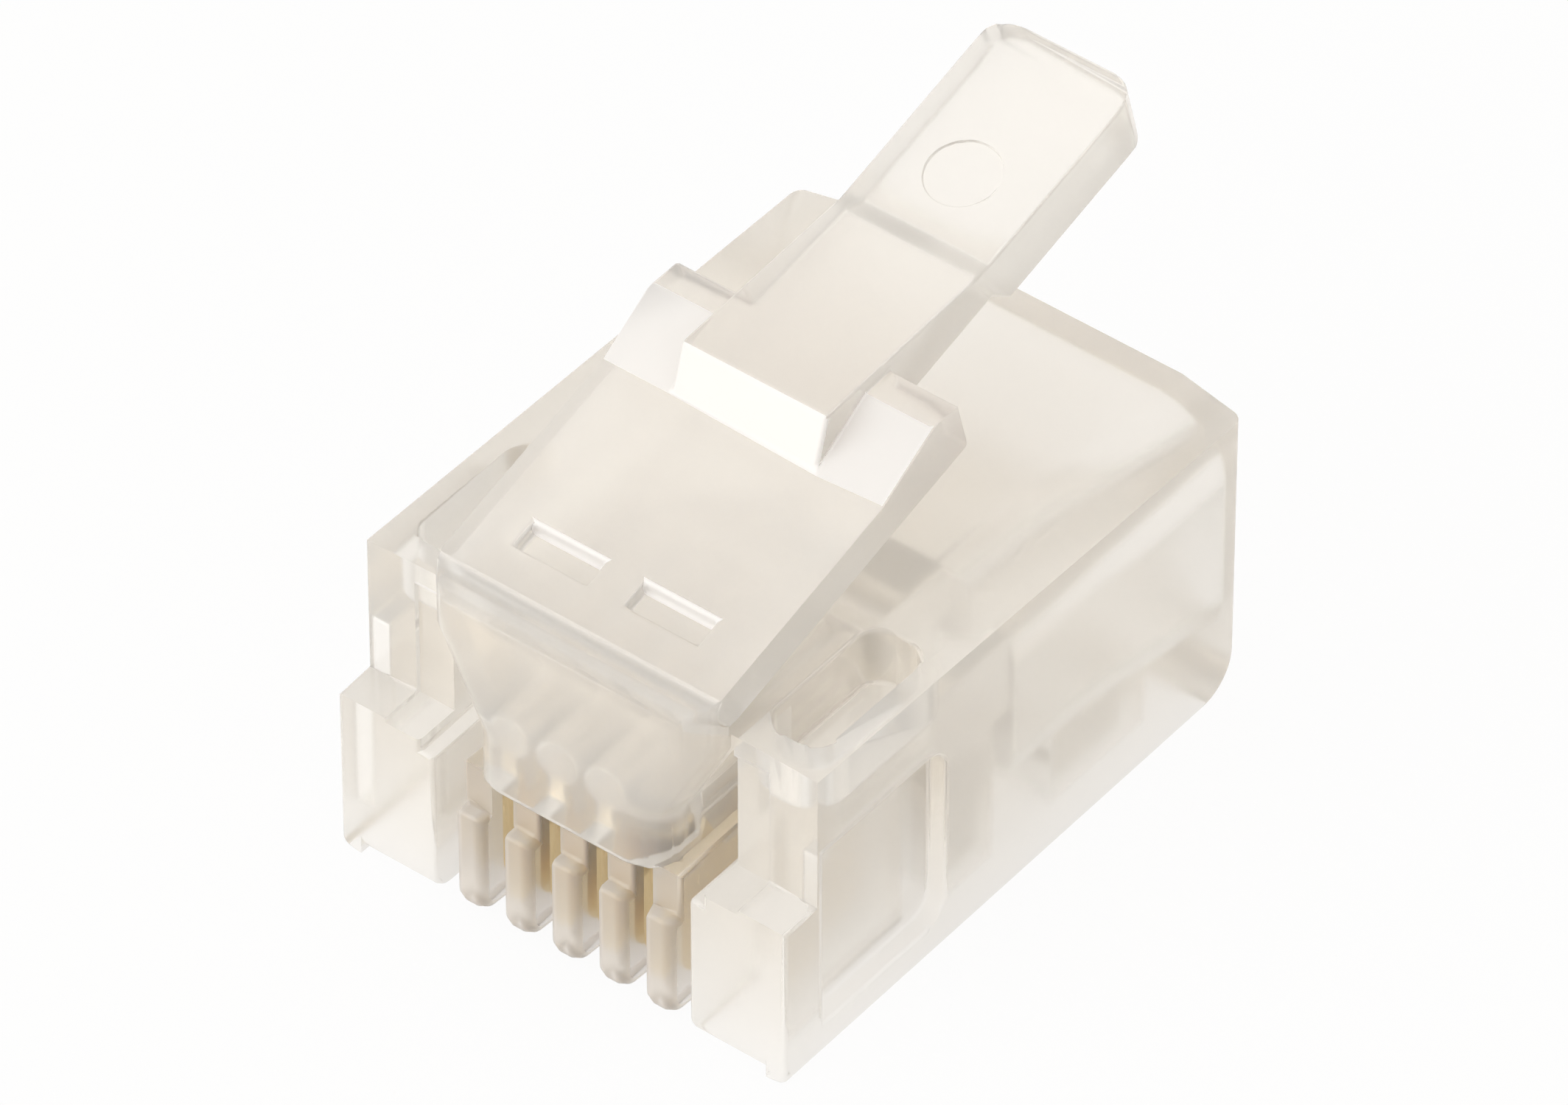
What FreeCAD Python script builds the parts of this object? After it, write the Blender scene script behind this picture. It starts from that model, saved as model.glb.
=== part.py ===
import FreeCAD, Part
import math
import os
import re
from enum import IntEnum, auto

import Sketcher

# Six position modular plug with four contacts, latch up, contact side down.
# X runs across the plug, Y from the mating front to the cable end, Z from the contact side up to the latch.
# The origin is where the front plane of the comb, the contact side and the middle plane meet.

POSITIONS = 6
FIRST_CONTACT = 2
LAST_CONTACT = 5

# Driving dimensions in millimetres, and one angle in degrees.
SIZES = {
    # Outer form of the housing.
    "body_width": 9.65,
    "overall_length": 14.32,
    "body_length": 12.65,
    "body_height": 6.5,
    "comb_height": 3.55,
    "ledge_depth": 0.86,
    "rear_heel_radius": 0.9,
    "edge_radius": 0.2,
    "shoulder_width": 1.3,
    "shoulder_front_drop": 0.05,
    "shoulder_rear_drop": 0.3,
    # Contact positions, slots and ribs.
    "pitch": 1.02,
    "contact_thickness": 0.38,
    "contact_clearance": 0.02,
    "slot_length": 4.4,
    "slot_step": 1.3,
    "toe_radius": 0.45,
    "flange_width": 0.42,
    "rib_setback": 0.32,
    "rib_setback_height": 0.9,
    # Nose and the gaps beside it.
    "nose_width": 4.1,
    "nose_drop": 0.35,
    "nose_corner_radius": 0.75,
    "nose_flare_rise": 1.1,
    "nose_flare_drop": 0.3,
    "nose_brow_radius": 0.7,
    "gap_width": 1.01,
    "gap_depth": 2.3,
    "insert_width": 0.74,
    "insert_step": 0.1,
    "insert_drop": 0.45,
    # Recesses in the sides and cores in the top, beside the latch.
    "recess_depth": 0.4,
    "recess_wall": 0.19,
    "recess_length": 3.35,
    "recess_base": 0.7,
    "recess_height": 3.95,
    "recess_radius": 0.5,
    "core_front_wall": 0.54,
    "core_length": 3.1,
    "core_inset": 0.2,
    "core_side_wall": 0.42,
    "core_depth": 1.2,
    "core_radius": 0.5,
    # Cable cavity, conductor chamber and channels.
    "cavity_width": 6.3,
    "cavity_height": 3.3,
    "cavity_floor": 1.55,
    "cavity_length": 5.65,
    "cavity_radius": 0.7,
    "mouth_width": 7.6,
    "mouth_height": 4.0,
    "mouth_length": 3.4,
    "chamber_height": 1.7,
    "chamber_length": 2.1,
    "channel_width": 0.9,
    "channel_level": 4.0,
    # Strain relief bars in their windows on the contact side, below the cavity and below the chamber.
    "window_width": 5.4,
    "bar_clearance": 0.12,
    "web_thickness": 0.3,
    "jacket_window_setback": 1.3,
    "jacket_window_length": 2.6,
    "jacket_bar_front_gap": 0.25,
    "jacket_bar_rear_gap": 0.55,
    "jacket_bar_base": 0.25,
    "jacket_bar_sink": 0.1,
    "wire_window_setback": 0.45,
    "wire_window_length": 1.25,
    "wire_bar_front_gap": 0.25,
    "wire_bar_rear_gap": 0.25,
    "wire_bar_base": 0.3,
    "wire_bar_sink": 0.25,
    # Latch lever, in its own frame: along the beam from the hinge axis, and square to the beam.
    "latch_width": 6.0,
    "latch_thickness": 0.82,
    "latch_angle": 15.1,
    "hinge_setback": 0.95,
    "hinge_rise": 0.63,
    "hinge_clearance": 0.02,
    "hinge_lip": 0.15,
    "relief_inner": 0.42,
    "relief_width": 1.53,
    "relief_start": 0.46,
    "relief_length": 0.54,
    "relief_depth": 0.25,
    "handle_width": 3.1,
    "ridge_start": 4.3,
    "ridge_run": 0.56,
    "ridge_rise": 0.9,
    "ridge_length": 4.75,
    "ear_run": 1.5,
    "ear_peak_rise": 0.45,
    "ear_length": 2.15,
    "ear_rear_rise": 0.28,
    "pad_length": 4.55,
    "pad_ramp": 0.4,
    "pad_drop": 0.5,
    "pad_corner_radius": 0.7,
    "pad_tip_radius": 0.2,
    "mark_radius": 0.7,
    "mark_depth": 0.06,
    "mark_setback": 3.1,
    # Contact blade, inside its slot.
    "blade_inset": 0.28,
    "blade_end_gap": 0.45,
    "blade_base": 0.45,
    "blade_headroom": 0.45,
    "blade_corner_radius": 0.5,
    "spike_headroom": 0.55,
    "spike_width": 0.6,
    "spike_inset": 0.2,
    "spike_spacing": 1.3,
}

# Places worked out from the driving dimensions.
BODY_HALF = "body_width / 2"
NOSE_HALF = "nose_width / 2"
LATCH_HALF = "latch_width / 2"
HANDLE_HALF = "handle_width / 2"
BLOCK_INNER = "(nose_width / 2 + gap_width)"
NOSE_BASE = "(comb_height - nose_drop)"
FLARE_BASE = f"({NOSE_BASE} + nose_flare_rise)"
FLARE_TOP = "(body_height - nose_flare_drop)"
HINGE_HEIGHT = "(body_height + hinge_rise)"
FIRST_POSITION = f"pitch * {(POSITIONS - 1) / 2}"
PATTERN_LENGTH = f"pitch * {POSITIONS - 1}"
SLOT_WIDTH = "(contact_thickness + 2 * contact_clearance)"
COMB_HALF = f"({FIRST_POSITION} + {SLOT_WIDTH} / 2)"
CAVITY_FRONT = "(body_length - cavity_length)"
CAVITY_MIDDLE = "(cavity_floor + cavity_height / 2)"
CHAMBER_FRONT = f"({CAVITY_FRONT} - chamber_length)"
CHAMBER_FLOOR = "(channel_level - chamber_height / 2)"
BEAM_HALF = "latch_thickness / 2"
EAR_REAR = "(ridge_start + ear_length)"

# The latch is as long as brings the rounded lower corner of its sloping tip out to the overall length.
TIP_DROP = "((latch_thickness / 2 + pad_drop - pad_tip_radius) * sin(latch_angle))"
TIP_REACH = f"(overall_length - hinge_setback - pad_tip_radius - {TIP_DROP})"
LATCH_LENGTH = f"({TIP_REACH} / cos(latch_angle) + pad_tip_radius)"

# Length of a cut that passes right across a piece.
ACROSS = "2 * body_width"

TOLERANCE = 1e-4


class Point(IntEnum):
    """The points of a line, an arc or a circle that a sketch can hold in place."""

    START = auto()
    END = auto()
    CENTRE = auto()


doc = FreeCAD.newDocument("modular_plug")
sheet = doc.addObject("Spreadsheet::Sheet", "Sizes")
for row, (alias, size) in enumerate(SIZES.items(), 1):
    sheet.set(f"A{row}", alias)
    sheet.set(f"B{row}", str(size))
    sheet.setAlias(f"B{row}", alias)
doc.recompute()


def bound(expression):
    """Point every size named in an expression at its cell in the sheet."""
    return re.sub(r"[a-z_]+", lambda word: f"Sizes.{word[0]}" if word[0] in SIZES else word[0], expression)


def value(expression):
    """Work out an expression from the sheet."""
    return float(sheet.evalExpression(bound(expression)))


def new_body(name):
    """Start a sub-part whose label names its file."""
    body = doc.addObject("PartDesign::Body", name)
    body.Label = name
    return body


def origin_feature(body, role):
    """Find a plane or axis of a body's own origin."""
    return next(feature for feature in body.Origin.OriginFeatures if feature.Role == role)


def new_sketch(body, name, plane, offset="0"):
    """Attach a sketch to an origin plane, moved along that plane's normal."""
    sketch = body.newObject("Sketcher::SketchObject", name)
    sketch.AttachmentSupport = (origin_feature(body, plane), [""])
    sketch.MapMode = "FlatFace"
    sketch.setExpression("AttachmentOffset.Base.z", bound(offset))
    return sketch


def pin(sketch, geometry, end, x, y):
    """Hold a point of a sketch at a place given by two expressions from the sketch's origin."""
    for kind, expression in (("DistanceX", x), ("DistanceY", y)):
        place = Sketcher.Constraint(kind, -1, Point.START, geometry, end, value(expression))
        index = sketch.addConstraint(place)
        sketch.setExpression(f"Constraints[{index}]", bound(expression))


def set_radius(sketch, geometry, radius):
    """Drive the radius of an arc or a circle."""
    index = sketch.addConstraint(Sketcher.Constraint("Radius", geometry, value(radius)))
    sketch.setExpression(f"Constraints[{index}]", bound(radius))


def round_corner(sketch, arriving, leaving, corner, start, end):
    """Join two lines of an outline by an arc that is tangent to both, and hold their corner in place."""
    x, y, radius = corner
    place = FreeCAD.Vector(value(x), value(y))
    middle = (start + end) / 2 - place
    reach = (start - place).Length
    centre = place + middle * (reach ** 2 + value(radius) ** 2) ** 0.5 / middle.Length
    angles = [math.atan2(point.y - centre.y, point.x - centre.x) for point in (start, end)]
    left_turn = (place - start).cross(end - place).z > 0
    first, last = (Point.START, Point.END) if left_turn else (Point.END, Point.START)
    circle = Part.Circle(centre, FreeCAD.Vector(0, 0, 1), value(radius))
    span = angles if left_turn else angles[::-1]
    arc = sketch.addGeometry(Part.ArcOfCircle(circle, *span), False)
    sketch.addConstraint(Sketcher.Constraint("Tangent", arriving, Point.END, arc, first))
    sketch.addConstraint(Sketcher.Constraint("Tangent", leaving, Point.START, arc, last))
    set_radius(sketch, arc, radius)
    point = sketch.addGeometry(Part.Point(place), True)
    for line in (arriving, leaving):
        sketch.addConstraint(Sketcher.Constraint("PointOnObject", point, Point.START, line))
    pin(sketch, point, Point.START, x, y)


def outline(sketch, corners):
    """Draw one closed outline through corners given as (x, y) or (x, y, radius) expressions."""
    places = [FreeCAD.Vector(value(x), value(y)) for x, y, *radius in corners]
    count = len(corners)
    starts = []
    ends = []
    for i, corner in enumerate(corners):
        before = (places[i - 1] - places[i]).normalize()
        after = (places[(i + 1) % count] - places[i]).normalize()
        reach = sum(map(value, corner[2:])) / math.tan(before.getAngle(after) / 2)
        ends.append(places[i] + before * reach)
        starts.append(places[i] + after * reach)
    lines = []
    for i in range(count):
        line = Part.LineSegment(starts[i], ends[(i + 1) % count])
        lines.append(sketch.addGeometry(line, False))
    for i, (x, y, *radius) in enumerate(corners):
        if radius:
            round_corner(sketch, lines[i - 1], lines[i], corners[i], ends[i], starts[i])
        else:
            joint = Sketcher.Constraint("Coincident", lines[i - 1], Point.END, lines[i], Point.START)
            sketch.addConstraint(joint)
            pin(sketch, lines[i], Point.START, x, y)


def rectangle(sketch, left, bottom, right, top, radius=None):
    """Draw a rectangle between two corners, rounded if a radius is given."""
    corners = [(left, bottom), (right, bottom), (right, top), (left, top)]
    outline(sketch, [corner + (radius,) for corner in corners] if radius else corners)


def circle(sketch, x, y, radius):
    """Draw a circle about a centre."""
    ring = Part.Circle(FreeCAD.Vector(value(x), value(y)), FreeCAD.Vector(0, 0, 1), value(radius))
    geometry = sketch.addGeometry(ring, False)
    set_radius(sketch, geometry, radius)
    pin(sketch, geometry, Point.CENTRE, x, y)


def mirrored(corners):
    """Give the corners of an outline on the other side of the middle plane."""
    return [(f"-({x})", *rest) for x, *rest in corners]


def finish_feature(body, feature, before):
    """Rebuild a body and make sure that its newest feature changed the solid."""
    doc.recompute()
    if abs(body.Shape.Volume - before) < TOLERANCE:
        raise RuntimeError(f"{feature.Name} changed nothing")
    return feature


def extrude(kind, body, name, sketch, length, symmetric=False, reverse=False):
    """Pad or pocket a sketch by a length, to one side or evenly to both."""
    before = body.Shape.Volume if body.Tip else 0
    feature = body.newObject(f"PartDesign::{kind}", name)
    feature.Profile = sketch
    feature.setExpression("Length", bound(length))
    feature.SideType = "Symmetric" if symmetric else "One side"
    feature.Reversed = reverse
    return finish_feature(body, feature, before)


def repeat_across(body, name, original):
    """Repeat a cut at every contact position."""
    before = body.Shape.Volume
    pattern = body.newObject("PartDesign::LinearPattern", name)
    pattern.Originals = [original]
    pattern.Direction = (origin_feature(body, "X_Axis"), [""])
    pattern.setExpression("Length", bound(PATTERN_LENGTH))
    pattern.Occurrences = POSITIONS
    body.Tip = pattern
    return finish_feature(body, pattern, before)


def mirror_across(body, name, original):
    """Repeat a feature on the other side of the middle plane."""
    before = body.Shape.Volume
    mirror = body.newObject("PartDesign::Mirrored", name)
    mirror.Originals = [original]
    mirror.MirrorPlane = (origin_feature(body, "YZ_Plane"), [""])
    body.Tip = mirror
    return finish_feature(body, mirror, before)


def round_edges(body, name, radius, wanted):
    """Fillet the edges of a body whose two end points pass a test."""
    base = body.Tip
    names = []
    for index, edge in enumerate(base.Shape.Edges, 1):
        points = [vertex.Point for vertex in edge.Vertexes]
        if len(points) == 2 and wanted(*points):
            names.append(f"Edge{index}")
    before = body.Shape.Volume
    fillet = body.newObject("PartDesign::Fillet", name)
    fillet.Base = (base, names)
    fillet.setExpression("Radius", bound(radius))
    return finish_feature(body, fillet, before)


def near(left, right):
    """Tell whether two lengths agree."""
    return abs(left - right) < TOLERANCE


def build_shell(body):
    """Form the outer block: stepped side profile, sloped shoulders and rounded rear edges."""
    profile = new_sketch(body, "side_profile", "YZ_Plane")
    outline(profile, [
        ("0", "0"),
        ("body_length", "0", "rear_heel_radius"),
        ("body_length", "body_height"),
        ("ledge_depth", "body_height"),
        ("ledge_depth", "comb_height"),
        ("0", "comb_height"),
    ])
    extrude("Pad", body, "block", profile, "body_width", symmetric=True)
    build_shoulders(body)
    side = value(BODY_HALF)
    rear = value("body_length")

    def rear_upright(start, end):
        return all(near(abs(p.x), side) and near(p.y, rear) for p in (start, end))

    round_edges(body, "outer_edges", "edge_radius", rear_upright)


def build_shoulders(body):
    """Slope the shoulders of the top, flat at the mating end and falling away towards the cable end."""
    sections = []
    for end, place in (("front", "ledge_depth"), ("rear", "body_length")):
        section = new_sketch(body, f"shoulder_{end}", "XZ_Plane", f"-{place}")
        outline(section, [
            (f"{BODY_HALF} - shoulder_width", "body_height"),
            (BODY_HALF, f"body_height - shoulder_{end}_drop"),
            (BODY_HALF, "body_height"),
        ])
        sections.append(section)
    before = body.Shape.Volume
    slope = body.newObject("PartDesign::SubtractiveLoft", "shoulder_slope")
    slope.Profile = sections[0]
    slope.Sections = sections[1:]
    finish_feature(body, slope, before)
    mirror_across(body, "shoulder_slopes", slope)


def build_nose(body):
    """Form the nose that carries the latch, its brow, and the socket of the living hinge."""
    ledge = new_sketch(body, "inner_ledge_face", "XZ_Plane")
    rectangle(ledge, f"-{BLOCK_INNER}", NOSE_BASE, BLOCK_INNER, "comb_height")
    extrude("Pocket", body, "inner_ledge", ledge, "ledge_depth")
    crown = f"{HINGE_HEIGHT} + latch_thickness"
    right_side = [
        (NOSE_HALF, NOSE_BASE),
        (NOSE_HALF, FLARE_BASE),
        (LATCH_HALF, FLARE_TOP),
        (LATCH_HALF, crown),
    ]
    front = new_sketch(body, "nose_front", "XZ_Plane")
    outline(front, right_side + mirrored(right_side)[::-1])
    extrude("Pad", body, "nose", front, "hinge_setback", reverse=True)
    nose_half = value(NOSE_HALF)
    latch_half = value(LATCH_HALF)
    base = value(NOSE_BASE)

    def on_nose_side(point):
        within = nose_half - TOLERANCE < abs(point.x) < latch_half + TOLERANCE
        return near(point.y, 0) and within and point.z > base - TOLERANCE

    def nose_side(start, end):
        return not near(start.z, end.z) and on_nose_side(start) and on_nose_side(end)

    round_edges(body, "nose_sides", "nose_corner_radius", nose_side)
    brow = new_sketch(body, "brow_profile", "YZ_Plane")
    rise = "tan(latch_angle)"
    brow_height = f"({HINGE_HEIGHT} + {BEAM_HALF} / cos(latch_angle) - hinge_setback * {rise})"
    top = f"({crown} + latch_thickness)"
    outline(brow, [
        ("0", FLARE_TOP),
        ("0", brow_height, "nose_brow_radius"),
        ("hinge_setback", f"{brow_height} + hinge_setback * {rise}"),
        ("hinge_setback", HINGE_HEIGHT),
        ("hinge_setback - hinge_lip", HINGE_HEIGHT),
        ("hinge_setback - hinge_lip", "body_height"),
        ("2 * hinge_setback", "body_height"),
        ("2 * hinge_setback", top),
        ("-hinge_setback", top),
        ("-hinge_setback", FLARE_TOP),
    ])
    extrude("Pocket", body, "brow", brow, ACROSS, symmetric=True)
    socket = new_sketch(body, "socket_profile", "YZ_Plane")
    circle(socket, "hinge_setback", HINGE_HEIGHT, f"{BEAM_HALF} + hinge_clearance")
    extrude("Pocket", body, "hinge_socket", socket, ACROSS, symmetric=True)


def build_front_gaps(body):
    """Open the gaps between the nose and the side blocks, and step the face beside them."""
    gap = [
        (NOSE_HALF, NOSE_BASE),
        (BLOCK_INNER, NOSE_BASE),
        (BLOCK_INNER, FLARE_TOP),
        (NOSE_HALF, FLARE_BASE),
    ]
    gaps = new_sketch(body, "gap_face", "XZ_Plane")
    outline(gaps, gap)
    outline(gaps, mirrored(gap))
    extrude("Pocket", body, "nose_gaps", gaps, "gap_depth")
    insert_line = f"{BLOCK_INNER} + insert_width"
    step = [
        (BLOCK_INNER, "comb_height - insert_step"),
        (insert_line, "comb_height - insert_step"),
        (insert_line, "body_height - insert_drop"),
        (BLOCK_INNER, "body_height - insert_drop"),
    ]
    steps = new_sketch(body, "insert_face", "XZ_Plane")
    outline(steps, step)
    outline(steps, mirrored(step))
    extrude("Pocket", body, "insert_steps", steps, "ledge_depth + insert_step")


def build_lightening(body):
    """Sink the recesses of the side walls and the cores of the top beside the latch."""
    recess = new_sketch(body, "recess_outline", "YZ_Plane", BODY_HALF)
    front = "ledge_depth + recess_wall"
    rear = f"{front} + recess_length"
    top = "recess_base + recess_height"
    outline(recess, [
        (front, "recess_base"),
        (rear, "recess_base", "recess_radius"),
        (rear, top, "recess_radius"),
        (front, top),
    ])
    cut = extrude("Pocket", body, "side_recess", recess, "recess_depth")
    mirror_across(body, "side_recesses", cut)
    core = new_sketch(body, "core_outline", "XY_Plane", "body_height")
    core_front = "ledge_depth + core_front_wall"
    inner = f"{LATCH_HALF} + core_inset"
    outer = f"{BODY_HALF} - core_side_wall"
    rectangle(core, inner, core_front, outer, f"{core_front} + core_length", "core_radius")
    cut = extrude("Pocket", body, "top_core", core, "core_depth")
    mirror_across(body, "top_cores", cut)


def cavity_section(body, name, offset, width, height):
    """Draw one rounded section of the cable cavity."""
    section = new_sketch(body, name, "XZ_Plane", f"-({offset})")
    half = f"{width} / 2"
    floor = f"{CAVITY_MIDDLE} - {height} / 2"
    roof = f"{CAVITY_MIDDLE} + {height} / 2"
    rectangle(section, f"-{half}", floor, half, roof, "cavity_radius")
    return section


def build_cavity(body):
    """Hollow the flared cable mouth, the cavity, the conductor chamber and the channels to the contacts."""
    throat_place = "body_length - mouth_length"
    throat = cavity_section(body, "throat_section", throat_place, "cavity_width", "cavity_height")
    mouth = cavity_section(body, "mouth_section", "body_length", "mouth_width", "mouth_height")
    before = body.Shape.Volume
    flare = body.newObject("PartDesign::SubtractiveLoft", "cable_mouth")
    flare.Profile = mouth
    flare.Sections = [throat]
    finish_feature(body, flare, before)
    inner = cavity_section(body, "cavity_section", throat_place, "cavity_width", "cavity_height")
    extrude("Pocket", body, "cable_cavity", inner, "cavity_length - mouth_length", reverse=True)
    chamber = new_sketch(body, "chamber_section", "XZ_Plane", f"-{CAVITY_FRONT}")
    rectangle(chamber, f"-{COMB_HALF}", CHAMBER_FLOOR, COMB_HALF, f"{CHAMBER_FLOOR} + chamber_height")
    extrude("Pocket", body, "conductor_chamber", chamber, "chamber_length", reverse=True)
    channel = new_sketch(body, "channel_section", "XZ_Plane", f"-{CHAMBER_FRONT}")
    circle(channel, f"-{FIRST_POSITION}", "channel_level", "channel_width / 2")
    cut = extrude("Pocket", body, "channel", channel, f"{CHAMBER_FRONT} - slot_step", reverse=True)
    repeat_across(body, "channels", cut)


def build_comb(body):
    """Cut the contact slots between the ribs, set the ribs back under the nose, and round their toes."""
    slot = new_sketch(body, "slot_profile", "YZ_Plane", f"-{FIRST_POSITION}")
    outline(slot, [
        ("0", "0"),
        ("slot_length", "0"),
        ("slot_length", "channel_level"),
        ("slot_step", "channel_level"),
        ("slot_step", NOSE_BASE),
        ("0", NOSE_BASE),
    ])
    cut = extrude("Pocket", body, "slot", slot, SLOT_WIDTH, symmetric=True)
    repeat_across(body, "slots", cut)
    setback = new_sketch(body, "setback_face", "XZ_Plane")
    rectangle(setback, f"-{COMB_HALF}", f"{NOSE_BASE} - rib_setback_height", COMB_HALF, NOSE_BASE)
    extrude("Pocket", body, "rib_setback_cut", setback, "rib_setback")
    toe = new_sketch(body, "toe_profile", "YZ_Plane")
    outline(toe, [
        ("-toe_radius", "-toe_radius"),
        ("2 * toe_radius", "-toe_radius"),
        ("2 * toe_radius", "0"),
        ("0", "0", "toe_radius"),
        ("0", "2 * toe_radius"),
        ("-toe_radius", "2 * toe_radius"),
    ])
    extrude("Pocket", body, "toe_rounding", toe, "body_width - 2 * flange_width", symmetric=True)


def build_strain_relief(body, name, room_front, room_floor, reach):
    """Open one window in the contact side up into a room above, and hang its bar there between two webs."""
    window_front = f"{room_front} + {name}_window_setback"
    window_rear = f"{window_front} + {name}_window_length"
    window = new_sketch(body, f"{name}_window_outline", "XY_Plane")
    half = "window_width / 2"
    rectangle(window, f"-{half}", window_front, half, window_rear)
    extrude("Pocket", body, f"{name}_window", window, reach, reverse=True)
    bar_front = f"{window_front} + {name}_bar_front_gap"
    bar_rear = f"{window_rear} - {name}_bar_rear_gap"
    bar_top = f"({room_floor} - {name}_bar_sink)"
    web_top = f"({bar_top} - web_thickness)"
    web_base = f"({bar_top} - 2 * web_thickness)"
    bar = new_sketch(body, f"{name}_bar_profile", "YZ_Plane")
    outline(bar, [
        (bar_front, f"{name}_bar_base"),
        (bar_rear, f"{name}_bar_base"),
        (bar_rear, web_base),
        (window_rear, web_base),
        (window_rear, web_top),
        (bar_rear, web_top),
        (bar_front, bar_top),
        (bar_front, web_top),
        (window_front, web_top),
        (window_front, web_base),
        (bar_front, web_base),
    ])
    extrude("Pad", body, f"{name}_bar", bar, "window_width - 2 * bar_clearance", symmetric=True)


def build_housing():
    """Build the clear moulding: shell, nose, comb, cavity and strain relief."""
    body = new_body("housing")
    build_shell(body)
    build_nose(body)
    build_front_gaps(body)
    build_lightening(body)
    build_cavity(body)
    build_comb(body)
    build_strain_relief(body, "jacket", CAVITY_FRONT, "cavity_floor", CAVITY_MIDDLE)
    build_strain_relief(body, "wire", CHAMBER_FRONT, CHAMBER_FLOOR, "channel_level")
    return body


def build_beam(body):
    """Form the flexing beam with its round root on the hinge axis, and the finger pad at its end."""
    beam = new_sketch(body, "beam_profile", "YZ_Plane")
    low = f"-{BEAM_HALF}"
    pad_start = f"{LATCH_LENGTH} - pad_length"
    outline(beam, [
        ("0", low),
        (pad_start, low),
        (f"{pad_start} + pad_ramp", f"{low} - pad_drop"),
        (LATCH_LENGTH, f"{low} - pad_drop", "pad_tip_radius"),
        (LATCH_LENGTH, BEAM_HALF, "pad_tip_radius"),
        ("0", BEAM_HALF),
    ])
    extrude("Pad", body, "beam", beam, "latch_width", symmetric=True)
    knuckle = new_sketch(body, "knuckle_profile", "YZ_Plane")
    circle(knuckle, "0", "0", BEAM_HALF)
    extrude("Pad", body, "knuckle", knuckle, "latch_width", symmetric=True)


def build_lock(body):
    """Form the ramped ears that lock in the jack and the ridge of the handle between them."""
    ears = new_sketch(body, "ear_profile", "YZ_Plane")
    outline(ears, [
        ("ridge_start", "0"),
        ("ridge_start", BEAM_HALF),
        ("ridge_start + ear_run", f"{BEAM_HALF} + ear_peak_rise"),
        (EAR_REAR, f"{BEAM_HALF} + ear_rear_rise"),
        (EAR_REAR, "0"),
    ])
    extrude("Pad", body, "ears", ears, "latch_width", symmetric=True)
    ridge = new_sketch(body, "ridge_profile", "YZ_Plane")
    outline(ridge, [
        ("ridge_start", "0"),
        ("ridge_start", BEAM_HALF),
        ("ridge_start + ridge_run", f"{BEAM_HALF} + ridge_rise"),
        ("ridge_start + ridge_length", BEAM_HALF),
        ("ridge_start + ridge_length", "0"),
    ])
    extrude("Pad", body, "ridge", ridge, "handle_width", symmetric=True)
    plan = new_sketch(body, "handle_plan", "XY_Plane")
    beyond = f"({LATCH_LENGTH} + latch_thickness)"
    outline(plan, [
        (HANDLE_HALF, EAR_REAR),
        (LATCH_HALF, EAR_REAR),
        (LATCH_HALF, beyond),
        (f"-{LATCH_HALF}", beyond),
        (f"-{LATCH_HALF}", EAR_REAR),
        (f"-{HANDLE_HALF}", EAR_REAR),
        (f"-{HANDLE_HALF}", LATCH_LENGTH, "pad_corner_radius"),
        (HANDLE_HALF, LATCH_LENGTH, "pad_corner_radius"),
    ])
    extrude("Pocket", body, "handle_trim", plan, ACROSS, symmetric=True)


def build_latch_details(body):
    """Sink the reliefs that thin the hinge, and the ejector mark on the finger pad."""
    relief_outer = "relief_inner + relief_width"
    relief_end = "relief_start + relief_length"
    relief = [
        ("relief_inner", "relief_start"),
        (relief_outer, "relief_start"),
        (relief_outer, relief_end),
        ("relief_inner", relief_end),
    ]
    reliefs = new_sketch(body, "relief_outline", "XY_Plane", BEAM_HALF)
    outline(reliefs, relief)
    outline(reliefs, mirrored(relief))
    extrude("Pocket", body, "hinge_reliefs", reliefs, "relief_depth")
    mark = new_sketch(body, "mark_outline", "XY_Plane", BEAM_HALF)
    circle(mark, "0", f"{LATCH_LENGTH} - mark_setback", "mark_radius")
    extrude("Pocket", body, "ejector_mark", mark, "mark_depth")


def build_latch():
    """Build the latch lever in its own frame and set it at rest on the hinge axis."""
    body = new_body("latch_lever")
    build_beam(body)
    build_lock(body)
    build_latch_details(body)
    body.Placement.Rotation = FreeCAD.Rotation(FreeCAD.Vector(1, 0, 0), value("latch_angle"))
    body.setExpression("Placement.Rotation.Angle", bound("latch_angle"))
    body.setExpression("Placement.Base.y", bound("hinge_setback"))
    body.setExpression("Placement.Base.z", bound(HINGE_HEIGHT))
    return body


def build_contact(position):
    """Build one flat contact blade with two piercing spikes, and set it in its slot."""
    body = new_body(f"contact_{position}")
    blade = new_sketch(body, "blade_profile", "YZ_Plane")
    blade_front = "rib_setback + blade_inset"
    blade_rear = "slot_length - blade_end_gap"
    blade_top = f"{NOSE_BASE} - blade_headroom"
    first_spike = "slot_step + spike_inset"
    corners = [
        (blade_front, blade_top),
        (blade_front, "blade_base", "blade_corner_radius"),
        (blade_rear, "blade_base", "blade_corner_radius"),
        (blade_rear, blade_top),
    ]
    for spike in (f"{first_spike} + spike_spacing", first_spike):
        corners += [
            (f"{spike} + spike_width / 2", blade_top),
            (spike, "channel_level - spike_headroom"),
            (f"{spike} - spike_width / 2", blade_top),
        ]
    outline(blade, corners)
    extrude("Pad", body, "blade", blade, "contact_thickness", symmetric=True)
    place = f"pitch * {position - (POSITIONS + 1) / 2}"
    body.setExpression("Placement.Base.x", bound(place))
    return body


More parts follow.
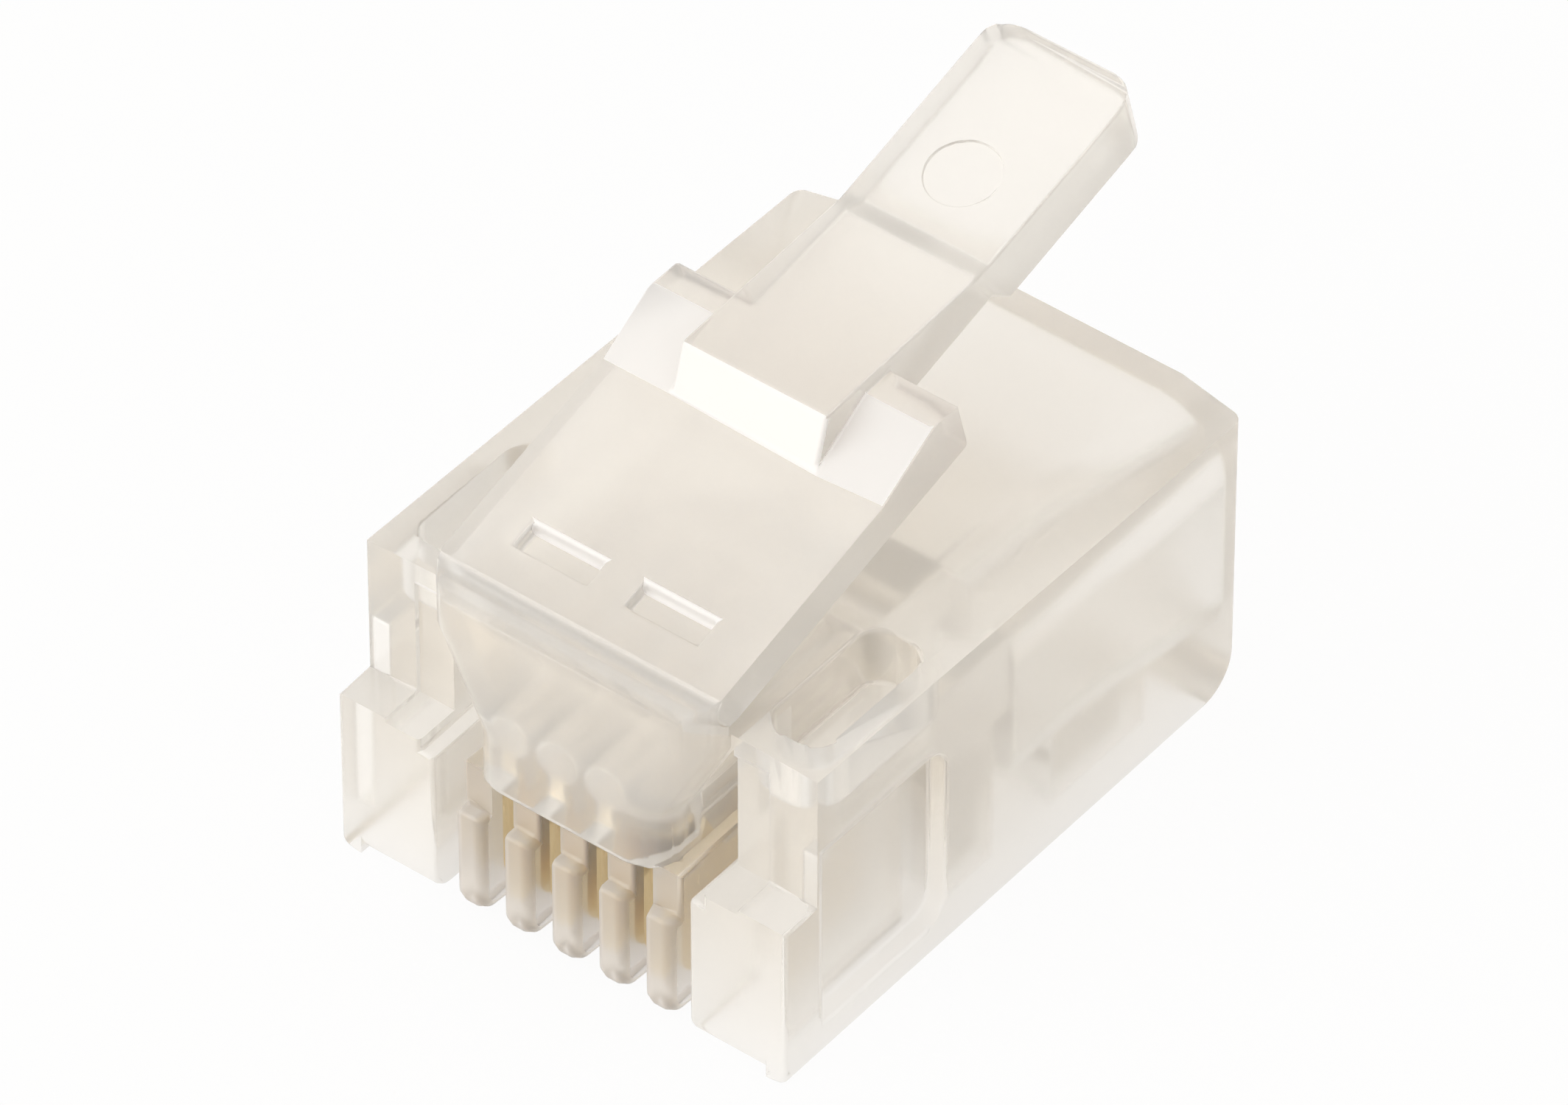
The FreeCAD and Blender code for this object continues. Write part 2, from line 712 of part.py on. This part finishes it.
def write_parts(bodies):
    """Check every object and solid, then write each sub-part to its own file."""
    doc.recompute()
    for item in doc.Objects:
        if "Invalid" in item.State or "Error" in item.State:
            raise RuntimeError(f"{item.Name} failed: {item.State}")
    for body in bodies:
        if body.Shape.isNull() or not body.Shape.isValid() or len(body.Shape.Solids) != 1:
            raise RuntimeError(f"{body.Label} is not one valid solid")
    os.makedirs("parts", exist_ok=True)
    for body in bodies:
        body.Shape.exportStep(f"parts/{body.Label}.step")
        print(f"{body.Label}: {body.Shape.Volume:.2f} mm3")


sub_parts = [build_housing(), build_latch()]
for position in range(FIRST_CONTACT, LAST_CONTACT + 1):
    sub_parts.append(build_contact(position))
write_parts(sub_parts)
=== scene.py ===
"""Looks of a six position modular plug: one clear moulding with its latch, and four gold plated blades."""
import logging
import math
from dataclasses import dataclass, field
from enum import Enum, IntEnum
from typing import Any

import bmesh
import bpy
from mathutils import Matrix, Vector, geometry
from mathutils.bvhtree import BVHTree


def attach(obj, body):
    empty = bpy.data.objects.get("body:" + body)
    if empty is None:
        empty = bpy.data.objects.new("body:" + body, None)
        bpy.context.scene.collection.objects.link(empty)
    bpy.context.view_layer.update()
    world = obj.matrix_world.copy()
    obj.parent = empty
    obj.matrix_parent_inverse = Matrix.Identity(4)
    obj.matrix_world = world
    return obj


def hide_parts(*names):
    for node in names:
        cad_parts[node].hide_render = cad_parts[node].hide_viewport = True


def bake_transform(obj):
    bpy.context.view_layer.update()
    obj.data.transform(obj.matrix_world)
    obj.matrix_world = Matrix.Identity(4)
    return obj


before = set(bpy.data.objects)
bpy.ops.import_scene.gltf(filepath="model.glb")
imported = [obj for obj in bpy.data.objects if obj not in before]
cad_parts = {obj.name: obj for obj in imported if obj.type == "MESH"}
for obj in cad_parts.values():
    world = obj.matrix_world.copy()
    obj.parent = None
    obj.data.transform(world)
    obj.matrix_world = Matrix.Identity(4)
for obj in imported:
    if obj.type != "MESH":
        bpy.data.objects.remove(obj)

MM: float = 0.001
"""Metres in a millimetre."""

MIX_FIRST: int = 6
MIX_SECOND: int = 7
MIX_RESULT: int = 2
"""Numbers of the colour sockets of a Mix node: its two inputs and its output."""

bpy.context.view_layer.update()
LOG = logging.getLogger("modular_plug")


def linear(code: str) -> tuple[float, float, float, float]:
    """Turn an sRGB hex colour into linear light.

    Args:
        code: the colour as "#RRGGBB".

    Returns:
        Red, green and blue in linear light, and an alpha of 1.
    """
    shares = [int(code[i:i + 2], 16) / 255 for i in (1, 3, 5)]
    light = [s / 12.92 if s <= 0.04045 else ((s + 0.055) / 1.055) ** 2.4 for s in shares]
    return (*light, 1.0)


def per_metre(size_mm: float) -> float:
    """Give the pattern scale at which one feature is size_mm wide."""
    return 1.0 / (size_mm * MM)


def add_node(tree: bpy.types.NodeTree, kind: str, settings: dict[str, Any] | None = None,
             links: dict[Any, bpy.types.NodeSocket] | None = None) -> bpy.types.Node:
    """Add one node with its settings and its incoming links.

    Args:
        tree: the tree that takes the node.
        kind: the node's type name.
        settings: node properties by name, or socket values by input name or number.
        links: the outputs that feed the node, by input name or number.

    Returns:
        The new node.
    """
    node = tree.nodes.new(kind)
    for name, value in (settings or {}).items():
        if isinstance(name, str) and hasattr(node, name):
            setattr(node, name, value)
        else:
            node.inputs[name].default_value = value
    for name, source in (links or {}).items():
        tree.links.new(source, node.inputs[name])
    return node


def new_piece(name: str, shape: bmesh.types.BMesh) -> bpy.types.Object:
    """Turn a shape into an object of the scene, and free the shape.

    Args:
        name: the name of the object and its mesh.
        shape: the shape, which is used up.

    Returns:
        The new object.
    """
    mesh = bpy.data.meshes.new(name)
    shape.to_mesh(mesh)
    shape.free()
    piece = bpy.data.objects.new(name, mesh)
    bpy.context.scene.collection.objects.link(piece)
    return piece


def new_material(name: str) -> tuple[bpy.types.Material, bpy.types.NodeTree]:
    """Start an empty node material.

    Args:
        name: the material's name.

    Returns:
        The material and its cleared node tree.
    """
    material = bpy.data.materials.new(name)
    material.use_nodes = True
    material.node_tree.nodes.clear()
    return material, material.node_tree


@dataclass(frozen=True)
class ClearPolycarbonate:
    """Clear polycarbonate, injection moulded.

    The eye sees a pale body that warms where it is thick, bright edges,
    a faint flow pattern from the gate and a light haze in the skin.
    """

    name: str = "clear_polycarbonate_moulded"
    tint: str = "#FEFCF9"
    depth_tint: str = "#EED6A0"
    depth_per_metre: float = 40.0
    ior: float = 1.585
    roughness: float = 0.22
    roughness_swing: float = 0.05
    transmission: float = 0.74
    gloss: float = 0.3
    gloss_roughness: float = 0.25
    # Share of a lamp's light that each wall lets into the shadow behind it.
    passes: float = 0.85
    flow_mm: float = 2.4
    flow_stretch: float = 0.35
    flow_detail: float = 3.0
    flow_strength: float = 0.04
    flow_height_mm: float = 0.05
    # The haze of a moulded skin is finer than this: it is drawn as coarse as it needs to show.
    haze_mm: float = 0.35
    haze_detail: float = 2.0

    def make(self) -> bpy.types.Material:
        """Build the material.

        Returns:
            The finished node material.
        """
        material, tree = new_material(self.name)
        place = add_node(tree, "ShaderNodeTexCoord")
        stretch = add_node(tree, "ShaderNodeMapping", {"Scale": (1.0, self.flow_stretch, 1.0)},
                           {"Vector": place.outputs["Object"]})
        flow = add_node(tree, "ShaderNodeTexNoise",
                        {"Scale": per_metre(self.flow_mm), "Detail": self.flow_detail},
                        {"Vector": stretch.outputs["Vector"]})
        haze = add_node(tree, "ShaderNodeTexNoise",
                        {"Scale": per_metre(self.haze_mm), "Detail": self.haze_detail},
                        {"Vector": place.outputs["Object"]})
        rough = add_node(tree, "ShaderNodeMapRange",
                         {"To Min": self.roughness, "To Max": self.roughness + self.roughness_swing},
                         {"Value": haze.outputs["Fac"]})
        ripple = add_node(tree, "ShaderNodeBump",
                          {"Strength": self.flow_strength, "Distance": self.flow_height_mm * MM},
                          {"Height": flow.outputs["Fac"]})
        plastic = add_node(tree, "ShaderNodeBsdfPrincipled",
                           {"Base Color": linear(self.tint), "IOR": self.ior,
                            "Transmission Weight": self.transmission, "Coat Weight": self.gloss,
                            "Coat Roughness": self.gloss_roughness},
                           {"Roughness": rough.outputs["Result"], "Normal": ripple.outputs["Normal"]})
        path = add_node(tree, "ShaderNodeLightPath")
        passed = add_node(tree, "ShaderNodeMath", {"operation": "MULTIPLY", 1: self.passes},
                          {0: path.outputs["Is Shadow Ray"]})
        through = add_node(tree, "ShaderNodeBsdfTransparent", {"Color": linear(self.tint)})
        skin = add_node(tree, "ShaderNodeMixShader", None,
                        {0: passed.outputs[0], 1: plastic.outputs["BSDF"], 2: through.outputs["BSDF"]})
        depth = add_node(tree, "ShaderNodeVolumeAbsorption",
                         {"Color": linear(self.depth_tint), "Density": self.depth_per_metre})
        add_node(tree, "ShaderNodeOutputMaterial", None,
                 {"Surface": skin.outputs["Shader"], "Volume": depth.outputs["Volume"]})
        return material


@dataclass(frozen=True)
class GoldPlatedBlade:
    """Phosphor bronze strip, punched and then plated with gold.

    The eye sees a warm yellow metal with fine lines down the punched edges and softer, paler flats.
    """

    gold: str = "#FBEBC4"
    worn: str = "#EED7A8"
    roughness: float = 0.22
    roughness_less: float = 0.06
    roughness_more: float = 0.1
    # Punching lines are finer than this: they are drawn as coarse as they need to show.
    line_mm: float = 0.06
    line_stretch: float = 0.1
    line_detail: float = 2.0
    line_strength: float = 0.15
    line_height_mm: float = 0.01

    def make(self) -> bpy.types.Material:
        """Build the material.

        Returns:
            The finished node material.
        """
        material, tree = new_material("gold_plated_bronze_punched")
        place = add_node(tree, "ShaderNodeTexCoord")
        along = add_node(tree, "ShaderNodeMapping", {"Scale": (1.0, 1.0, self.line_stretch)},
                         {"Vector": place.outputs["Object"]})
        lines = add_node(tree, "ShaderNodeTexNoise",
                         {"Scale": per_metre(self.line_mm), "Detail": self.line_detail},
                         {"Vector": along.outputs["Vector"]})
        colour = add_node(tree, "ShaderNodeMix",
                          {"data_type": "RGBA", MIX_FIRST: linear(self.worn),
                           MIX_SECOND: linear(self.gold)},
                          {0: lines.outputs["Fac"]})
        rough = add_node(tree, "ShaderNodeMapRange",
                         {"To Min": self.roughness - self.roughness_less,
                          "To Max": self.roughness + self.roughness_more},
                         {"Value": lines.outputs["Fac"]})
        relief = add_node(tree, "ShaderNodeBump",
                          {"Strength": self.line_strength, "Distance": self.line_height_mm * MM},
                          {"Height": lines.outputs["Fac"]})
        metal = add_node(tree, "ShaderNodeBsdfPrincipled", {"Metallic": 1.0},
                         {"Base Color": colour.outputs[MIX_RESULT], "Roughness": rough.outputs["Result"],
                          "Normal": relief.outputs["Normal"]})
        add_node(tree, "ShaderNodeOutputMaterial", None, {"Surface": metal.outputs["BSDF"]})
        return material


class Surface(IntEnum):
    """Which copy of the clear plastic a face of the moulding gets, numbered as its material slots: the
    moulded plastic, a white copy that paints a highlight, or a milkier copy with painted shade.
    """

    MOULDED = 0
    BLASTED = 1
    DRAWN = 2


@dataclass
class Moulding:
    """The housing and its sprung latch: one clear moulding, bent at the living hinge."""

    # A polished mould leaves most faces clear, with a soft gloss.
    moulded: ClearPolycarbonate = field(default_factory=ClearPolycarbonate)
    # The forward faces of the lock and the reliefs get a matt copy that lets little light through, so that
    # they show white: a painted highlight where the front lamp falls.
    blasted: ClearPolycarbonate = field(default_factory=lambda: ClearPolycarbonate(
        name="clear_polycarbonate_painted_highlight", roughness=0.5, transmission=0.2, gloss=0.0))
    # The ends of the ribs get a milkier, rougher copy with a warmer, darker tint, which is painted shade
    # for the shadow under the plug and the gold seen through the ribs.
    drawn: ClearPolycarbonate = field(default_factory=lambda: ClearPolycarbonate(
        name="clear_polycarbonate_milky_painted_shade", tint="#FBF4EA", roughness=0.34, transmission=0.68, gloss=0.1))
    # The faces painted white as a highlight look forward, on the lock and in the reliefs.
    # Their places are measured along the beam from the hinge axis.
    lock_front: float = 4.2
    lock_rear: float = 5.85
    relief_front: float = 0.7
    relief_rear: float = 1.1
    lit_facing: float = -0.2
    # The milky rib ends with painted shade lie in this part of the comb, and are all faces that are not
    # flanks.
    flank_facing: float = 0.98
    comb_half: float = 2.5
    comb_rear: float = 4.2
    comb_top: float = 3.0
    # Edges that turn more than sharp_degrees are rounded, by no more than a share of the face beside them.
    sharp_degrees: float = 35.0
    edge_mm: float = 0.08
    edge_steps: int = 2
    edge_share: float = 0.35
    # The ribs end in rounder fingers, from the contact side up to their step and this far back.
    finger_mm: float = 0.2
    finger_reach: float = 0.5
    finger_top: float = 2.6
    # An edge this near to a place where the rounding does not lie flat is kept sharp at the next try.
    edge_tries: int = 8
    stray_mm: float = 0.12
    # Corners this near are one corner, and faces that turn less than flat_degrees are one face.
    weld_mm: float = 0.0005
    flat_degrees: float = 0.5
    # The hinge axis, and the slope of the beam at rest.
    hinge_y: float = 0.95
    hinge_z: float = 7.13
    hinge_degrees: float = 15.1
    # The web at the hinge, along and square to the beam, with half its width.
    joint_front: float = -0.25
    joint_rear: float = 0.2
    joint_low: float = -0.38
    joint_high: float = 0.41
    joint_half: float = 3.0
    # The moulding bends between these two heights.
    bend_low: float = 6.55
    bend_high: float = 7.1

    def copy_of(self, node: str) -> bpy.types.Object:
        """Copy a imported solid, welded and in millimetres.

        Args:
            node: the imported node's name.

        Returns:
            A new object that holds the copy.
        """
        shape = bmesh.new()
        shape.from_mesh(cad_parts[node].data)
        bmesh.ops.scale(shape, vec=Vector((1, 1, 1)) / MM, verts=shape.verts)
        bmesh.ops.remove_doubles(shape, verts=shape.verts, dist=self.weld_mm)
        return new_piece(f"{node}_copy", shape)

    def hinge_web(self) -> bpy.types.Object:
        """Make the web of plastic that joins the latch to the nose at the living hinge.

        Returns:
            A new object that holds the web, in millimetres.
        """
        shape = bmesh.new()
        bmesh.ops.create_cube(shape, size=1.0)
        for corner in shape.verts:
            corner.co.x *= 2 * self.joint_half
            corner.co.y = self.joint_rear if corner.co.y > 0 else self.joint_front
            corner.co.z = self.joint_high if corner.co.z > 0 else self.joint_low
        turn = Matrix.Rotation(math.radians(self.hinge_degrees), 4, "X")
        move = Matrix.Translation((0, self.hinge_y, self.hinge_z))
        bmesh.ops.transform(shape, matrix=move @ turn, verts=shape.verts)
        return new_piece("hinge_web", shape)

    def build(self) -> bpy.types.Object:
        """Join the copies into one moulding with softened edges.

        Returns:
            The moulding, in metres.
        """
        piece = self.copy_of("housing")
        piece.name = "plug_moulding"
        others = [self.copy_of("latch_lever"), self.hinge_web()]
        for other in others:
            union = piece.modifiers.new(other.name, "BOOLEAN")
            union.operation = "UNION"
            union.solver = "EXACT"
            union.object = other
        self.apply(piece)
        for other in others:
            bpy.data.objects.remove(other)
        self.flatten(piece)
        self.soften(piece)
        piece.data.transform(Matrix.Scale(MM, 4))
        return piece

    def soften(self, piece: bpy.types.Object) -> None:
        """Round the sharp edges a little, apart from those where a rounding would not lie flat.

        Args:
            piece: the piece to soften.
        """
        sharp = bmesh.new()
        sharp.from_mesh(piece.data)
        surface = BVHTree.FromBMesh(sharp)
        weight = sharp.edges.layers.float.new("bevel_weight_edge")
        for line in sharp.edges:
            if line.calc_face_angle(0.0) > math.radians(self.sharp_degrees):
                wanted = self.finger_mm if self.on_finger(line) else self.edge_mm
                line[weight] = min(wanted, self.edge_share * self.narrowest(line)) / self.finger_mm
        plain = piece.data
        for _ in range(self.edge_tries):
            piece.data = plain
            sharp.to_mesh(plain)
            edge = piece.modifiers.new("edge", "BEVEL")
            edge.width = self.finger_mm
            edge.segments = self.edge_steps
            edge.limit_method = "WEIGHT"
            edge.use_clamp_overlap = False
            edge.harden_normals = True
            self.apply(piece)
            misfits = self.misfits(piece.data, surface)
            LOG.info("edge rounding does not lie flat at %d places", len(misfits))
            if not misfits:
                break
            for line in sharp.edges:
                start, end = (corner.co for corner in line.verts)
                for place in misfits:
                    share = geometry.intersect_point_line(place, start, end)[1]
                    if (start.lerp(end, min(max(share, 0.0), 1.0)) - place).length < self.stray_mm:
                        line[weight] = 0.0
        sharp.free()

    def in_comb(self, place: Vector) -> bool:
        """Tell whether a place, in millimetres, is on the ribs of the comb."""
        return abs(place.x) < self.comb_half and place.y < self.comb_rear and place.z < self.comb_top

    def on_finger(self, line: bmesh.types.BMEdge) -> bool:
        """Tell whether an edge runs down the front of a rib, between its end and a flank.

        Args:
            line: the edge, in millimetres.

        Returns:
            True for an edge of the comb that is near the front, below the step and not across it.
        """
        start, end = (corner.co for corner in line.verts)
        near_front = max(start.y, end.y) < self.finger_reach
        below_step = min(start.z, end.z) < self.finger_top
        across = abs(end.x - start.x) > self.weld_mm
        return self.in_comb(start) and self.in_comb(end) and near_front and below_step and not across

    def narrowest(self, line: bmesh.types.BMEdge) -> float:
        """Measure the narrower of the two faces beside an edge.

        Args:
            line: the edge between the faces.

        Returns:
            The width of that face square to the edge, in millimetres.
        """
        start = line.verts[0].co
        along = (line.verts[1].co - start).normalized()
        return min(max(along.cross(corner.co - start).length for corner in face.verts)
                   for face in line.link_faces)

    def misfits(self, mesh: bpy.types.Mesh, surface: BVHTree) -> list[Vector]:
        """Find where a rounded mesh leaves its surface or folds over itself.

        Args:
            mesh: the rounded mesh.
            surface: the surface before rounding.

        Returns:
            The nearest places on the surface before rounding.
        """
        found = []
        for corner in mesh.vertices:
            allowed = (self.finger_mm if self.in_comb(corner.co) else self.edge_mm) / 2
            if surface.find_nearest(corner.co)[3] > allowed:
                found.append(corner.co)
        mesh.calc_loop_triangles()
        for triangle in mesh.loop_triangles:
            if triangle.normal.dot(mesh.polygons[triangle.polygon_index].normal) < 0:
                found.extend(mesh.vertices[i].co for i in triangle.vertices)
        return [surface.find_nearest(place)[0] for place in found]

    def apply(self, piece: bpy.types.Object) -> None:
        """Replace a piece's mesh by what its modifiers give, and clear them.

        Args:
            piece: the piece to settle.
        """
        bpy.context.view_layer.update()
        done = piece.evaluated_get(bpy.context.evaluated_depsgraph_get())
        mesh = bpy.data.meshes.new_from_object(done)
        piece.modifiers.clear()
        piece.data = mesh

    def flatten(self, piece: bpy.types.Object) -> None:
        """Weld a piece's mesh and merge the triangles of each flat face.

        Args:
            piece: the piece to clean.
        """
        shape = bmesh.new()
        shape.from_mesh(piece.data)
        bmesh.ops.remove_doubles(shape, verts=shape.verts, dist=self.weld_mm)
        bmesh.ops.dissolve_limit(shape, angle_limit=math.radians(self.flat_degrees),
                                 verts=shape.verts, edges=shape.edges)
        for face in shape.faces:
            face.smooth = True
        for line in shape.edges:
            line.smooth = line.calc_face_angle(0.0) < math.radians(self.sharp_degrees)
        shape.to_mesh(piece.data)
        shape.free()

    def surface_of(self, face: bpy.types.MeshPolygon) -> Surface:
        """Tell which copy of the clear plastic a face gets.

        Args:
            face: a face of the moulding, in metres.

        Returns:
            The white copy, a painted highlight, for the front of the ridge, the ramps of the ears and the
            far walls of the reliefs, the milky copy with painted shade for the ends of the ribs in the
            comb, and the moulded plastic for the rest.
        """
        centre = face.center / MM
        turn = Matrix.Rotation(-math.radians(self.hinge_degrees), 3, "X")
        place = turn @ (centre - Vector((0, self.hinge_y, self.hinge_z)))
        facing = turn @ face.normal
        on_lock = self.lock_front < place.y < self.lock_rear and place.z > self.joint_high
        in_relief = self.relief_front < place.y < self.relief_rear and abs(place.z) < self.joint_high
        # Forward faces of the lock and the reliefs take the white copy: a painted highlight.
        if (on_lock or in_relief) and facing.y < self.lit_facing:
            return Surface.BLASTED
        # The rib ends take the milky copy, whose warmer, darker tint is painted shade.
        if self.in_comb(centre) and abs(face.normal.x) < self.flank_facing:
            return Surface.DRAWN
        return Surface.MOULDED

    def dress(self, piece: bpy.types.Object) -> None:
        """Give the moulding its materials, with the painted highlight and shade, hide the imported housing
        and latch, and bake its place into its mesh.

        Args:
            piece: the moulding.
        """
        piece.data.materials.clear()
        for finish in (self.moulded, self.blasted, self.drawn):
            piece.data.materials.append(finish.make())
        for face in piece.data.polygons:
            face.material_index = self.surface_of(face)
        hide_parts("housing", "latch_lever")
        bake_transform(piece)


@dataclass
class Contacts:
    """The four blades, each standing in its slot of the comb."""

    plating: GoldPlatedBlade = field(default_factory=GoldPlatedBlade)
    positions: tuple[int, ...] = (2, 3, 4, 5)
    # The six positions are numbered across the plug, so its middle lies between 3 and 4.
    pitch: float = 1.02
    middle: float = 3.5
    # A blade's own thickness, and how thick it is drawn to touch the walls that grip it.
    thickness: float = 0.38
    gripped: float = 0.44

    def build(self) -> list[bpy.types.Object]:
        """Copy each blade, thickened to touch the walls of its slot as a pressed-in blade does.

        Returns:
            The blades, in metres.
        """
        blades = []
        for position in self.positions:
            centre = (position - self.middle) * self.pitch * MM
            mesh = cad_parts[f"contact_{position}"].data.copy()
            for corner in mesh.vertices:
                corner.co.x = centre + (corner.co.x - centre) * self.gripped / self.thickness
            blade = bpy.data.objects.new(f"blade_{position}", mesh)
            bpy.context.scene.collection.objects.link(blade)
            blades.append(blade)
        return blades

    def dress(self, blades: list[bpy.types.Object]) -> None:
        """Give each blade its plating and seat it in the housing.

        Args:
            blades: the blades in the order of their positions.
        """
        material = self.plating.make()
        for position, blade in zip(self.positions, blades):
            blade.data.materials.clear()
            blade.data.materials.append(material)
            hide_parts(f"contact_{position}")
            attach(blade, "housing")


class Lamp(Enum):
    """The studio's soft lamps: place in millimetres, width in millimetres and power in watts."""

    KEY = ((-90.0, -240.0, 80.0), 360.0, 0.75)
    FILL = ((220.0, -60.0, 80.0), 240.0, 0.05)
    TOP = ((20.0, 90.0, 260.0), 240.0, 0.05)


@dataclass
class Studio:
    """A pale table, soft lamps and a long lens at the photograph's angle."""

    azimuth: float = 38.09
    elevation: float = 42.75
    distance_mm: float = 250.0
    lens: float = 336.8
    aim_mm: tuple[float, float, float] = (0.0, 6.0, 4.0)
    # The aim is shifted by this much to the right and up in the picture.
    right_mm: float = 0.07
    up_mm: float = 0.86
    table_mm: float = 900.0
    # The plug stands this little into the table, so that no two faces lie in one plane.
    table_rise_mm: float = 0.02
    table: str = "#F4F2EE"
    white: str = "#FFFFFF"
    room: str = "#FFFDFA"
    room_level: float = 0.68
    # The white of the studio dims from this height of view up to the zenith.
    fade_from: float = 0.35
    fade_to: float = 0.95
    zenith: float = 0.86
    # Share of plain white in the table, as seen directly and as seen in gloss and through the plug.
    white_direct: float = 0.93
    white_through: float = 0.65
    sensor_mm: float = 36.0
    clip_near: float = 0.01
    clip_far: float = 5.0
    bounces: int = 24

    def backdrop(self) -> None:
        """Light the studio evenly, and show it white behind the plug and through it."""
        world = bpy.data.worlds.new("studio")
        world.use_nodes = True
        bpy.context.scene.world = world
        tree = world.node_tree
        tree.nodes.clear()
        path = add_node(tree, "ShaderNodeLightPath")
        seen = add_node(tree, "ShaderNodeMath", {"operation": "MAXIMUM"},
                        {0: path.outputs["Is Camera Ray"], 1: path.outputs["Is Glossy Ray"]})
        shown = add_node(tree, "ShaderNodeMath", {"operation": "MAXIMUM"},
                         {0: seen.outputs[0], 1: path.outputs["Is Transmission Ray"]})
        room = add_node(tree, "ShaderNodeBackground",
                        {"Color": linear(self.room), "Strength": self.room_level})
        place = add_node(tree, "ShaderNodeTexCoord")
        split = add_node(tree, "ShaderNodeSeparateXYZ", None, {0: place.outputs["Generated"]})
        fade = add_node(tree, "ShaderNodeMapRange",
                        {"From Min": self.fade_from, "From Max": self.fade_to,
                         "To Min": 1.0, "To Max": self.zenith},
                        {"Value": split.outputs["Z"]})
        white = add_node(tree, "ShaderNodeBackground", {"Color": linear(self.white)},
                         {"Strength": fade.outputs["Result"]})
        mix = add_node(tree, "ShaderNodeMixShader", None,
                       {0: shown.outputs[0], 1: room.outputs[0], 2: white.outputs[0]})
        add_node(tree, "ShaderNodeOutputWorld", None, {"Surface": mix.outputs[0]})

    def floor(self) -> None:
        """Lay the pale table top, which shows white and keeps a soft shadow."""
        material, tree = new_material("pale_table")
        path = add_node(tree, "ShaderNodeLightPath")
        seen = add_node(tree, "ShaderNodeMath", {"operation": "MAXIMUM"},
                        {0: path.outputs["Is Glossy Ray"], 1: path.outputs["Is Transmission Ray"]})
        inside = add_node(tree, "ShaderNodeMath", {"operation": "MULTIPLY", 1: self.white_through},
                          {0: seen.outputs[0]})
        share = add_node(tree, "ShaderNodeMath", {"operation": "MULTIPLY_ADD", 1: self.white_direct},
                         {0: path.outputs["Is Camera Ray"], 2: inside.outputs[0]})
        paint = add_node(tree, "ShaderNodeBsdfDiffuse", {"Color": linear(self.table)})
        white = add_node(tree, "ShaderNodeEmission", {"Color": linear(self.white), "Strength": 1.0})
        mix = add_node(tree, "ShaderNodeMixShader", None,
                       {0: share.outputs[0], 1: paint.outputs[0], 2: white.outputs[0]})
        add_node(tree, "ShaderNodeOutputMaterial", None, {"Surface": mix.outputs[0]})
        shape = bmesh.new()
        bmesh.ops.create_grid(shape, x_segments=1, y_segments=1, size=self.table_mm * MM / 2)
        top = new_piece("table_top", shape)
        top.data.materials.append(material)
        top.location.z = self.table_rise_mm * MM

    def lamps(self) -> None:
        """Hang the soft lamps, each turned to the plug; its gloss shows the white studio alone."""
        aim = Vector(self.aim_mm) * MM
        for lamp in Lamp:
            place, width, power = lamp.value
            light = bpy.data.lights.new(f"{lamp.name.lower()}_lamp", "AREA")
            light.size = width * MM
            light.energy = power
            stand = bpy.data.objects.new(light.name, light)
            stand.location = Vector(place) * MM
            stand.rotation_euler = (aim - stand.location).to_track_quat("-Z", "Y").to_euler()
            stand.visible_glossy = False
            bpy.context.scene.collection.objects.link(stand)

    def camera(self) -> None:
        """Set the camera at the photograph's viewing angle."""
        turn, rise = math.radians(self.azimuth), math.radians(self.elevation)
        back = Vector((math.sin(turn) * math.cos(rise),
                       -math.cos(turn) * math.cos(rise),
                       math.sin(rise)))
        right = Vector((math.cos(turn), math.sin(turn), 0))
        aim = (Vector(self.aim_mm) + right * self.right_mm + back.cross(right) * self.up_mm) * MM
        lens = bpy.data.cameras.new("long_lens")
        lens.lens = self.lens
        lens.sensor_width = self.sensor_mm
        lens.clip_start = self.clip_near
        lens.clip_end = self.clip_far
        eye = bpy.data.objects.new("long_lens", lens)
        eye.location = aim + back * self.distance_mm * MM
        eye.rotation_euler = back.to_track_quat("Z", "Y").to_euler()
        bpy.context.scene.collection.objects.link(eye)
        bpy.context.scene.camera = eye

    def build(self) -> None:
        """Set up the whole studio at a plain exposure."""
        bpy.context.scene.view_settings.view_transform = "Standard"
        bpy.context.scene.cycles.max_bounces = self.bounces
        bpy.context.scene.cycles.transmission_bounces = self.bounces
        self.backdrop()
        self.floor()
        self.lamps()
        self.camera()


def main() -> None:
    """Build and dress each sub-assembly, then the studio around them."""
    logging.basicConfig(level=logging.INFO, format="%(name)s: %(message)s")
    moulding = Moulding()
    body = moulding.build()
    moulding.dress(body)
    LOG.info("%s: %d faces", body.name, len(body.data.polygons))
    contacts = Contacts()
    blades = contacts.build()
    contacts.dress(blades)
    for blade in blades:
        LOG.info("%s: gold plated", blade.name)
    Studio().build()


if __name__ == "__main__":
    main()
